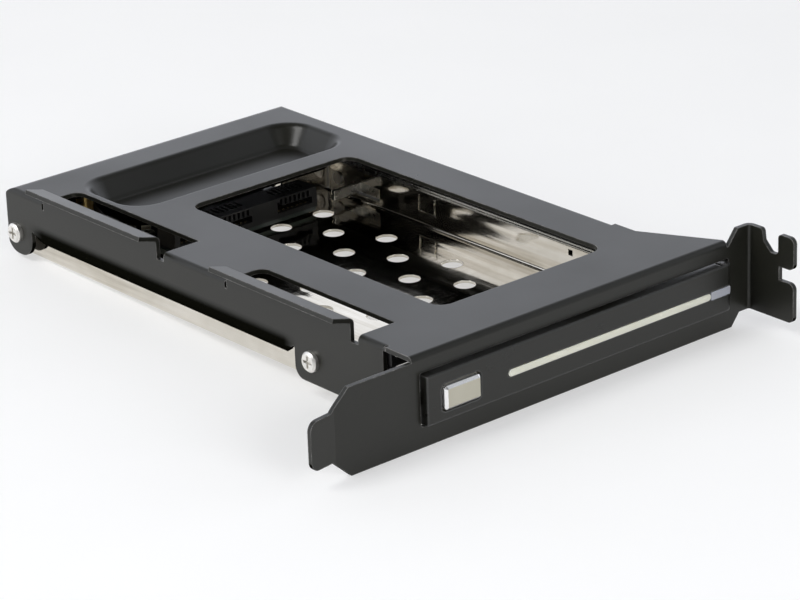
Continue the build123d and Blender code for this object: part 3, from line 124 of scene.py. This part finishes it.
class Shader(Nodes):
    """The nodes of one material."""

    def __init__(self, name):
        self.material = bpy.data.materials.new(name)
        self.material.use_nodes = True
        super().__init__(self.material.node_tree)
        self.tree.nodes.clear()
        self.surface = self.add("ShaderNodeOutputMaterial").inputs["Surface"]
        self.bsdf = self.add("ShaderNodeBsdfPrincipled")
        self.feed(self.bsdf.outputs["BSDF"], self.surface)
        self.coords = self.add("ShaderNodeTexCoord").outputs

    def set(self, **values):
        """Feed inputs of the surface, named with underscores in place of spaces."""
        for key, value in values.items():
            self.feed(value, self.bsdf.inputs[key.replace("_", " ")])

    def noise(self, scale, detail=3.0, roughness=0.5, stretch=(1, 1, 1)):
        mapping = self.add("ShaderNodeMapping")
        mapping.inputs["Scale"].default_value = stretch
        self.feed(self.coords["Object"], mapping.inputs["Vector"])
        node = self.add("ShaderNodeTexNoise")
        node.inputs["Scale"].default_value = scale
        node.inputs["Detail"].default_value = detail
        node.inputs["Roughness"].default_value = roughness
        self.feed(mapping.outputs["Vector"], node.inputs["Vector"])
        return node.outputs["Fac"]

    def ramp(self, value, stops):
        """Colours by value; each stop is (value, colour)."""
        node = self.add("ShaderNodeValToRGB")
        elements = node.color_ramp.elements
        while len(elements) < len(stops):
            elements.new(0.5)
        for element, (place, colour) in zip(elements, stops):
            element.position = place
            element.color = (*colour, 1.0)
        self.feed(value, node.inputs["Fac"])
        return node.outputs["Color"]

    def tones(self, noise, dark, light):
        """A colour that wanders between two tones with a noise."""
        low, high = NOISE_SPAN
        return self.ramp(noise, [(low, dark), (high, light)])

    def spread(self, noise, low, high):
        """A number that wanders between two limits with a noise."""
        return self.remap(noise, low, high, *NOISE_SPAN)

    def mix(self, factor, colour_a, colour_b, mode="MIX"):
        node = self.add("ShaderNodeMix", data_type="RGBA", blend_type=mode)
        for value, index in ((factor, MIX_FACTOR), (colour_a, MIX_A), (colour_b, MIX_B)):
            self.feed(value, node.inputs[index])
        return node.outputs[MIX_RESULT]

    def rounding(self, radius):
        """The normal with its edges rounded off, by a radius in mm."""
        node = self.add("ShaderNodeBevel", samples=4)
        node.inputs["Radius"].default_value = radius * MM
        return node.outputs["Normal"]

    def edges(self, rounded):
        """A mask that nears 1 where the rounded normal leaves the surface's own."""
        dot = self.add("ShaderNodeVectorMath", operation="DOT_PRODUCT")
        self.feed(rounded, dot.inputs[0])
        self.feed(self.add("ShaderNodeNewGeometry").outputs["Normal"], dot.inputs[1])
        return self.remap(dot.outputs["Value"], 0.0, 1.0, 1.0, 1.0 - 1.0 / EDGE_GAIN)

    def underside(self):
        """A mask that is 1 where the surface faces down."""
        normal = self.add("ShaderNodeNewGeometry").outputs["Normal"]
        return self.remap(self.axis(normal, "Z"), 0.0, 1.0, *UNDERSIDE_FADE)

    def face(self, letter, low, high):
        """A mask that is 1 where the surface, as the piece was made, faces along one axis."""
        along = self.combine("ABSOLUTE", self.axis(self.coords["Normal"], letter))
        return self.remap(along, 0.0, 1.0, low, high)

    def zone(self, limits):
        """A mask that is 1 within soft limits, each (axis, place of 0, place of 1) in mm."""
        masks = [
            self.remap(self.axis(self.coords["Object"], letter), 0.0, 1.0, start * MM, full * MM)
            for letter, start, full in limits]
        total = masks[0]
        for mask in masks[1:]:
            total = self.combine("MULTIPLY", total, mask)
        return total

    def bumps(self, layers, normal=None):
        """Stack bump layers, each (height, distance in mm, strength), over a rounded normal."""
        for height, distance, strength in layers:
            node = self.add("ShaderNodeBump")
            node.inputs["Distance"].default_value = distance * MM
            node.inputs["Strength"].default_value = strength
            self.feed(height, node.inputs["Height"])
            if normal is not None:
                self.feed(normal, node.inputs["Normal"])
            normal = node.outputs["Normal"]
        self.set(Normal=normal)


def shade(value, colour=(1.0, 1.0, 1.0)):
    """A colour scaled by a value, or a grey of that value."""
    return tuple(value * channel for channel in colour)


# Finishes

# Painted shade: a band where the left wall curls in between its lugs is darkened; each limit is
# (axis, place of 0, place of 1) in mm
CURL_SHADE_BAND = (("Z", 13.6, 11.6), ("X", -32.9, -33.2), ("Y", -26.5, -22.5), ("Y", 66.5, 61.0))
PAINT_DARK = (0.0080, 0.0080, 0.0055)
PAINT_LIGHT = (0.0115, 0.0115, 0.0085)
# Colour of lightened edges: partly wear, partly a painted highlight
PAINT_WORN_AND_HIGHLIGHT = (0.30, 0.29, 0.28)
# Painted shade: near black colour for the curled band and for surfaces facing down
PAINT_SHADE = (0.003, 0.003, 0.002)
FINE_GRAIN = 5200.0
PLATING_DARK = (0.62, 0.59, 0.52)
PLATING_LIGHT = (0.78, 0.75, 0.69)
PLATING_STAINS = [(0.36, (0.72, 0.69, 0.64)), (0.50, (0.95, 0.94, 0.92)), (0.60, (1.0, 1.0, 1.0))]
BUTTON_DARK = (0.44, 0.42, 0.34)
BUTTON_LIGHT = (0.50, 0.48, 0.40)
# Painted highlight: near white colour of the button's bevels
BUTTON_BEVEL_HIGHLIGHT = (0.93, 0.93, 0.92)
SCATTER_DEPTH = 1.5
SCATTER_COLOURS = (1.0, 0.9, 0.7)
TRACK_DARK = (0.006, 0.010, 0.008)
TRACK_MIDDLE = (0.008, 0.012, 0.010)
TRACK_GAP = (0.014, 0.020, 0.016)


def powder_coat():
    """Satin black paint with a fine grain and a cloudy sheen; its edges are lightened, partly as
    wear and partly as a painted highlight, and its curl and undersides carry painted shade.
    """
    s = Shader("bracket_paint")
    rounded = s.rounding(0.28)
    grain = s.noise(FINE_GRAIN, 2.0)
    cloud = s.noise(38.0, 4.0)
    speck = s.ramp(grain, [(0.35, shade(0.86)), (0.65, shade(1.12))])
    body = s.mix(1.0, s.tones(cloud, PAINT_DARK, PAINT_LIGHT), speck, "MULTIPLY")
    spots = s.remap(s.noise(420.0, 4.0, 0.65), 0.35, 1.0, 0.46, 0.64)
    # Edges lighten in spots, partly as wear and partly as a painted highlight
    worn_and_highlit = s.mix(s.combine("MULTIPLY", s.edges(rounded), spots), body, PAINT_WORN_AND_HIGHLIGHT)
    # Painted shade: the curled band and surfaces facing down turn near black, dull and without
    # reflection
    painted_shade = s.combine("MAXIMUM", s.zone(CURL_SHADE_BAND), s.underside())
    s.set(
        IOR=1.43,
        Base_Color=s.mix(painted_shade, worn_and_highlit, PAINT_SHADE),
        Roughness=s.combine("MAXIMUM", s.spread(cloud, 0.27, 0.36), painted_shade),
        Specular_IOR_Level=s.remap(painted_shade, 0.5, 0.0),
    )
    s.bumps([(grain, 0.010, 0.6), (cloud, 0.05, 0.2)], rounded)
    return s.material


def bright_sheet():
    """Plated sheet steel: near mirror, wavy along its length, with stains and fine scratches."""
    s = Shader("cage_steel")
    smear = s.noise(55.0, 4.0, 0.6)
    rolling = s.noise(900.0, 3.0, 0.6, (1.0, 0.03, 1.0))
    wave = s.noise(170.0, 2.0, 0.5, (1.0, 0.06, 1.0))
    scratch = s.noise(2600.0, 2.0, 0.5, (0.06, 1.0, 1.0))
    streaks = s.noise(330.0, 3.0, 0.55, (1.0, 0.05, 1.0))
    plating = s.tones(smear, PLATING_DARK, PLATING_LIGHT)
    stained = s.mix(1.0, plating, s.ramp(streaks, PLATING_STAINS), "MULTIPLY")
    dull = s.remap(scratch, -0.01, 0.05, 0.4, 0.7)
    s.set(
        Metallic=1.0,
        Base_Color=stained,
        Roughness=s.combine("ADD", s.spread(smear, 0.04, 0.11), dull),
    )
    s.bumps([(rolling, 0.006, 0.5), (wave, 0.34, 0.7), (smear, 0.15, 0.25)], s.rounding(0.15))
    return s.material


def plain_steel(name, tone, roughness, stretch=(1.0, 1.0, 1.0)):
    """Steel with drawn lines, patches of duller metal and rounded edges."""
    s = Shader(name)
    patches = s.noise(260.0, 4.0, 0.6)
    lines = s.noise(3000.0, 2.0, 0.5, stretch)
    s.set(
        Metallic=1.0,
        Base_Color=s.tones(patches, shade(0.82, tone), tone),
        Roughness=s.spread(patches, *roughness),
    )
    s.bumps([(lines, 0.006, 0.6)], s.rounding(0.12))
    return s.material


def moulded(name, tone, roughness, grain=3600.0, depth=0.02, radius=0.2,
            tint=(1.0, 1.0, 1.0), edge_highlight=1.5):
    """Moulded plastic with a spark eroded grain, slight flow marks, and a painted highlight: its
    edges take a lighter colour.
    """
    s = Shader(name)
    rounded = s.rounding(radius)
    sparks = s.noise(grain, 2.0)
    flow = s.noise(60.0, 3.0, 0.55, (1.0, 1.0, 3.0))
    body = s.tones(flow, shade(tone * 0.9, tint), shade(tone * 1.1, tint))
    s.set(
        IOR=1.45,
        # Painted highlight: rounded edges take the tone scaled up
        Base_Color=s.mix(s.edges(rounded), body, shade(tone * edge_highlight)),
        Roughness=s.spread(flow, *roughness),
    )
    s.bumps([(sparks, depth, 0.6)], rounded)
    return s.material


def button_paint():
    """Silver painted cap; the bevels round its face are painted near white, a painted highlight."""
    s = Shader("button_plastic")
    face = s.face("Y", 0.80, 0.97)
    satin = s.tones(s.noise(90.0, 3.0), BUTTON_DARK, BUTTON_LIGHT)
    s.set(
        IOR=1.5,
        Metallic=0.75,
        Base_Color=s.mix(face, BUTTON_BEVEL_HIGHLIGHT, satin),
        Roughness=s.remap(face, 0.12, 0.36),
    )
    s.bumps([(s.noise(FINE_GRAIN, 2.0), 0.006, 0.5)], s.rounding(0.08))
    return s.material


def milky(name, tone, roughness, scatter):
    """Translucent moulded plastic, a little cloudy."""
    s = Shader(name)
    cloud = s.noise(180.0, 3.0)
    s.bsdf.inputs["Subsurface Radius"].default_value = SCATTER_COLOURS
    s.set(
        IOR=1.49,
        Subsurface_Weight=scatter,
        Subsurface_Scale=SCATTER_DEPTH * MM,
        Base_Color=s.tones(cloud, shade(0.93, tone), tone),
        Roughness=s.spread(cloud, *roughness),
    )
    s.bumps([(cloud, 0.02, 0.3)], s.rounding(0.15))
    return s.material


def board():
    """Black solder mask; the tracks under it show as a faint pattern."""
    s = Shader("board_green")
    tracks = s.add("ShaderNodeTexBrick", offset=0.37)
    for name, value in (
            ("Vector", s.coords["Object"]), ("Scale", 260.0),
            ("Mortar Size", 0.06), ("Mortar Smooth", 0.1),
            ("Color1", TRACK_DARK), ("Color2", TRACK_MIDDLE), ("Mortar", TRACK_GAP)):
        s.feed(value, tracks.inputs[name])
    s.set(
        IOR=1.5,
        Base_Color=tracks.outputs["Color"],
        Roughness=s.remap(s.noise(300.0, 3.0), 0.30, 0.44),
    )
    s.bumps([(tracks.outputs["Fac"], 0.03, 0.4)])
    return s.material


MATERIALS = {
    "bracket_paint": powder_coat(),
    "cage_steel": bright_sheet(),
    "screw_steel": plain_steel("screw_steel", (0.86, 0.84, 0.80), (0.34, 0.48)),
    "hinge_steel": plain_steel("hinge_steel", (0.60, 0.59, 0.57), (0.25, 0.40), (1.0, 1.0, 0.05)),
    "slide_steel": plain_steel("slide_steel", (0.66, 0.65, 0.61), (0.20, 0.34), (1.0, 0.05, 1.0)),
    "spring_steel": plain_steel("spring_steel", (0.52, 0.50, 0.47), (0.25, 0.40)),
    # The door's edges carry a strong painted highlight
    "door_plastic": moulded(
        "door_plastic", 0.009, (0.27, 0.34), radius=0.55, tint=(1.0, 1.0, 0.75), edge_highlight=12.0),
    "button_plastic": button_paint(),
    "latch_plastic": moulded("latch_plastic", 0.020, (0.30, 0.42), 2600.0, 0.015, 0.15),
    "chip_black": moulded("chip_black", 0.020, (0.40, 0.55), 6000.0, 0.012, 0.10),
    "can_beige": moulded(
        "can_beige", 0.72, (0.30, 0.40), 3000.0, 0.010, 0.20, tint=(1.0, 0.93, 0.72)),
    "connector_black": moulded("connector_black", 0.008, (0.30, 0.42), 2400.0, 0.010, 0.08),
    "light_guide_ivory": milky("light_guide_ivory", (0.72, 0.71, 0.60), (0.16, 0.28), 0.35),
    "lens_grey": milky("lens_grey", (0.36, 0.37, 0.41), (0.12, 0.22), 0.2),
    "led_plastic": milky("led_plastic", (0.86, 0.85, 0.78), (0.08, 0.16), 0.3),
    "board_green": board(),
    "standoff_brass": plain_steel("standoff_brass", (0.62, 0.46, 0.20), (0.25, 0.38)),
    "contact_gold": plain_steel("contact_gold", (0.16, 0.13, 0.08), (0.30, 0.40)),
}


def dress_nodes():
    for part in frame["record"]["subparts"]:
        obj = NODES[part["node"]]
        obj.data.materials.clear()
        obj.data.materials.append(MATERIALS[part["material_slot"]])


# Pieces that only the picture needs, in mm

# The finger's bends in plan, from the power socket's corner and the inside of the rear wall
FINGER_PATH = [(-3.6, 0.0), (-1.5, 0.0), (-0.8, -0.25), (-0.1, -0.75), (0.5, -1.05), (0.9, -0.95)]
FINGER_FROM_REAR = 0.95
FINGER_BELOW = 0.6
FINGER_ABOVE = 5.4
FINGER_ROWS = 7
FINGER_CORNER = 0.25
FINGER_SHEET = 0.3
FINGER_SOFT = 0.08
PAD_FROM_WALL = 0.3
PAD_FROM_FRONT = 20.2
PAD_LOW = 14.6
PAD_HIGH = 18.7
PAD_INSET = 0.3
PAD_INSET_RISE = 0.5
PAD_SOFT = 0.18
PAD_MIDDLE_Y = 1.5
PAD_BODY = [(0.0, 0.0), (0.0, 2.6), (0.5, 3.0), (8.4, 3.0), (9.0, 2.5), (9.0, 0.5), (8.4, 0.0)]
PAD_FOOT = [(-0.1, 0.1), (-0.1, 3.6), (0.2, 4.0), (1.4, 4.0), (1.7, 3.6), (1.7, 0.4), (1.4, 0.1)]
FOOT_DROP = 2.4
FOOT_GAP = 0.02
RIVET_PROFILE = [(0.35, -0.4), (0.75, -0.1), (0.75, 0.12), (0.62, 0.3), (0.36, 0.42), (0.1, 0.46)]
RIVET_FROM_LEFT = 1.6
RIVET_FROM_TOP = 1.3


def placed(name, bm):
    """An object of the scene made from a bmesh."""
    mesh = bpy.data.meshes.new(name)
    bm.to_mesh(mesh)
    bm.free()
    obj = bpy.data.objects.new(name, mesh)
    bpy.context.collection.objects.link(obj)
    return obj


def soften(obj, width):
    soft = obj.modifiers.new("soft", "BEVEL")
    soft.width = width * MM
    soft.segments = 2


def fix_to_chassis(obj, slot):
    obj.data.materials.append(MATERIALS[slot])
    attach(obj, "chassis")


def close_sides(bm, rings):
    """Faces between closed rings of vertices that follow each other."""
    for ring, after in zip(rings, rings[1:]):
        count = len(ring)
        for i in range(count):
            bm.faces.new((ring[i], ring[(i + 1) % count], after[(i + 1) % count], after[i]))


def earth_finger():
    """The springy strip from the cover's rear wall to the power socket's corner."""
    rear = box_of("slot_bracket_cover")[1].y - FINGER_FROM_REAR * MM
    socket = box_of("power_socket")[0]
    path = [(socket.x + x * MM, rear + y * MM) for x, y in FINGER_PATH]
    low, high = socket.z - FINGER_BELOW * MM, socket.z + FINGER_ABOVE * MM
    last = FINGER_ROWS - 1
    bm = bmesh.new()
    grid = []
    for row in range(FINGER_ROWS):
        z = low + (high - low) * row / last
        points = list(path)
        if row in (0, last):
            tip_x, tip_y = path[-1]
            points[-1] = (tip_x - FINGER_CORNER * MM, tip_y)
        grid.append([bm.verts.new((x, y, z)) for x, y in points])
    for row, above in zip(grid, grid[1:]):
        for i in range(len(path) - 1):
            bm.faces.new((row[i], row[i + 1], above[i + 1], above[i]))
    obj = placed("earth_finger", bm)
    thick = obj.modifiers.new("thick", "SOLIDIFY")
    thick.thickness = FINGER_SHEET * MM
    thick.offset = 0.0
    soften(obj, FINGER_SOFT)
    fix_to_chassis(obj, "standoff_brass")


def pad_block(bm, corner, outline, low, high):
    """One block of the pad, drawn in at its lower edge; corner is its place in plan."""
    middle_x = sum(x for x, y in outline) / len(outline)
    rings = []
    for z, inset in ((low, PAD_INSET), (low + PAD_INSET_RISE * MM, 0.0), (high, 0.0)):
        ring = []
        for x, y in outline:
            x += inset if x < middle_x else -inset
            y += inset if y < PAD_MIDDLE_Y else -inset
            ring.append(bm.verts.new((corner[0] + x * MM, corner[1] + y * MM, z)))
        rings.append(ring)
    close_sides(bm, rings)
    bm.faces.new(rings[0][::-1])
    bm.faces.new(rings[-1])


def lathe(name, profile, place, segments=28):
    """A turned piece; the profile is (radius, height) in mm and the height runs towards -Y."""
    bm = bmesh.new()
    turns = [2 * math.pi * step / segments for step in range(segments)]
    rings = []
    for radius, height in profile:
        radius, height = radius * MM, height * MM
        rings.append([
            bm.verts.new((
                place[0] + radius * math.cos(turn),
                place[1] - height,
                place[2] + radius * math.sin(turn)))
            for turn in turns])
    close_sides(bm, rings)
    bm.faces.new(rings[-1])
    bm.faces.new(rings[0][::-1])
    bmesh.ops.recalc_face_normals(bm, faces=bm.faces)
    for face in bm.faces:
        face.smooth = True
    return placed(name, bm)


def corner_pad():
    """The rubber pad inside the front left corner that keeps a drive still, and its rivet."""
    left = box_of("drive_cage")[0].x + PAD_FROM_WALL * MM
    front = box_of("slot_bracket_cover")[0].y + PAD_FROM_FRONT * MM
    low, high = PAD_LOW * MM, PAD_HIGH * MM
    bm = bmesh.new()
    pad_block(bm, (left, front), PAD_BODY, low, high)
    pad_block(bm, (left, front), PAD_FOOT, low - FOOT_DROP * MM, low - FOOT_GAP * MM)
    bmesh.ops.recalc_face_normals(bm, faces=bm.faces)
    pad = placed("corner_pad", bm)
    soften(pad, PAD_SOFT)
    fix_to_chassis(pad, "latch_plastic")
    place = (left + RIVET_FROM_LEFT * MM, front, high - RIVET_FROM_TOP * MM)
    fix_to_chassis(lathe("corner_pad_rivet", RIVET_PROFILE, place), "screw_steel")


def squash_springs():
    """Each spring gets a mesh of its own."""
    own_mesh(NODES["button_springs"])
    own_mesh(NODES["latch_spring"])


# Studio, in metres where nothing else is said

FLOOR_GLOW = 0.46
FLOOR_HALF = 3.0
FLOOR_GAP_MM = 0.15
# The sky is bright on one side and dark overhead; a fade is where its change starts and ends
BRIGHT_SIDE = (0.64, 0.77, 0.0)
DARK_SIDE = 0.16
LIGHT_SIDE = 1.25
SIDE_FADE = (-0.30, 0.20)
OVERHEAD = 0.15
HEIGHT_FADE = (0.50, 0.80)
SKY_COLOUR = (0.95, 0.98, 1.06)
# Each lamp: name, place, width and height, watts; all point at the origin
LAMPS = [
    ("high_soft", (-0.90, 0.25, 1.10), (0.6, 0.6), 9.5),
    ("left_soft", (-0.95, 0.15, 0.28), (0.5, 0.4), 4.0),
    ("front_soft", (-0.10, -0.95, 0.40), (0.5, 0.4), 4.8),
]


def camera():
    data = bpy.data.cameras.new("camera")
    data.sensor_width = SENSOR_MM
    data.lens = FOCAL_PX / IMAGE_WIDTH_PX * SENSOR_MM
    data.clip_start, data.clip_end = CAMERA_CLIP
    obj = bpy.data.objects.new("camera", data)
    turn = Matrix((CAMERA_RIGHT, CAMERA_UP, CAMERA_BACK)).transposed()
    obj.matrix_world = Matrix.Translation(CAMERA_PLACE) @ turn.to_4x4()
    bpy.context.collection.objects.link(obj)
    bpy.context.scene.camera = obj


def rest_plane():
    """The part lies on the bracket's lower edge and on the rear edge of the cage floor."""
    cage_low, cage_high = box_of("drive_cage")
    front_y = box_of("hinge_bracket")[0].y
    return front_y, cage_low.z / (cage_high.y - front_y)


def floor_white():
    """White, with a share of plain glow that the camera, gloss and glass see."""
    s = Shader("floor_white")
    s.set(Base_Color=s.tones(s.noise(40.0, 3.0), shade(0.94), shade(0.96)), Roughness=0.8)
    path = s.add("ShaderNodeLightPath").outputs
    seen = s.combine("ADD", path["Is Camera Ray"], path["Is Glossy Ray"], use_clamp=True)
    seen = s.combine("ADD", seen, path["Is Transmission Ray"], use_clamp=True)
    share = s.combine("MULTIPLY", seen, FLOOR_GLOW)
    glow = s.add("ShaderNodeEmission")
    both = s.add("ShaderNodeMixShader")
    for value, entry in zip((share, s.bsdf.outputs["BSDF"], glow.outputs["Emission"]), both.inputs):
        s.feed(value, entry)
    s.feed(both.outputs["Shader"], s.surface)
    return s.material


def floor():
    front_y, rise = rest_plane()
    half = FLOOR_HALF
    corners = [
        (x, y, (y - front_y) * rise - FLOOR_GAP_MM * MM)
        for x, y in ((-half, -half), (half, -half), (half, half), (-half, half))]
    mesh = bpy.data.meshes.new("floor")
    mesh.from_pydata(corners, [], [(0, 1, 2, 3)])
    mesh.materials.append(floor_white())
    obj = bpy.data.objects.new("floor", mesh)
    bpy.context.collection.objects.link(obj)


def sky():
    world = bpy.data.worlds.new("studio")
    bpy.context.scene.world = world
    world.use_nodes = True
    nodes = Nodes(world.node_tree)
    direction = nodes.add("ShaderNodeTexCoord").outputs["Generated"]
    side = nodes.add("ShaderNodeVectorMath", operation="DOT_PRODUCT")
    side.inputs[1].default_value = BRIGHT_SIDE
    nodes.feed(direction, side.inputs[0])
    by_side = nodes.remap(side.outputs["Value"], DARK_SIDE, LIGHT_SIDE, *SIDE_FADE)
    by_height = nodes.remap(nodes.axis(direction, "Z"), 1.0, OVERHEAD, *HEIGHT_FADE)
    background = world.node_tree.nodes["Background"].inputs
    nodes.feed(nodes.combine("MULTIPLY", by_side, by_height), background["Strength"])
    nodes.feed(SKY_COLOUR, background["Color"])


def area_light(name, place, size, power):
    data = bpy.data.lights.new(name, "AREA")
    data.shape = "RECTANGLE"
    data.size, data.size_y = size
    data.energy = power
    obj = bpy.data.objects.new(name, data)
    obj.rotation_euler = (-Vector(place)).to_track_quat("-Z", "Y").to_euler()
    obj.location = place
    bpy.context.collection.objects.link(obj)


dress_nodes()
earth_finger()
corner_pad()
squash_springs()
camera()
floor()
sky()
for lamp in LAMPS:
    area_light(*lamp)
bpy.context.scene.view_settings.view_transform = "Standard"
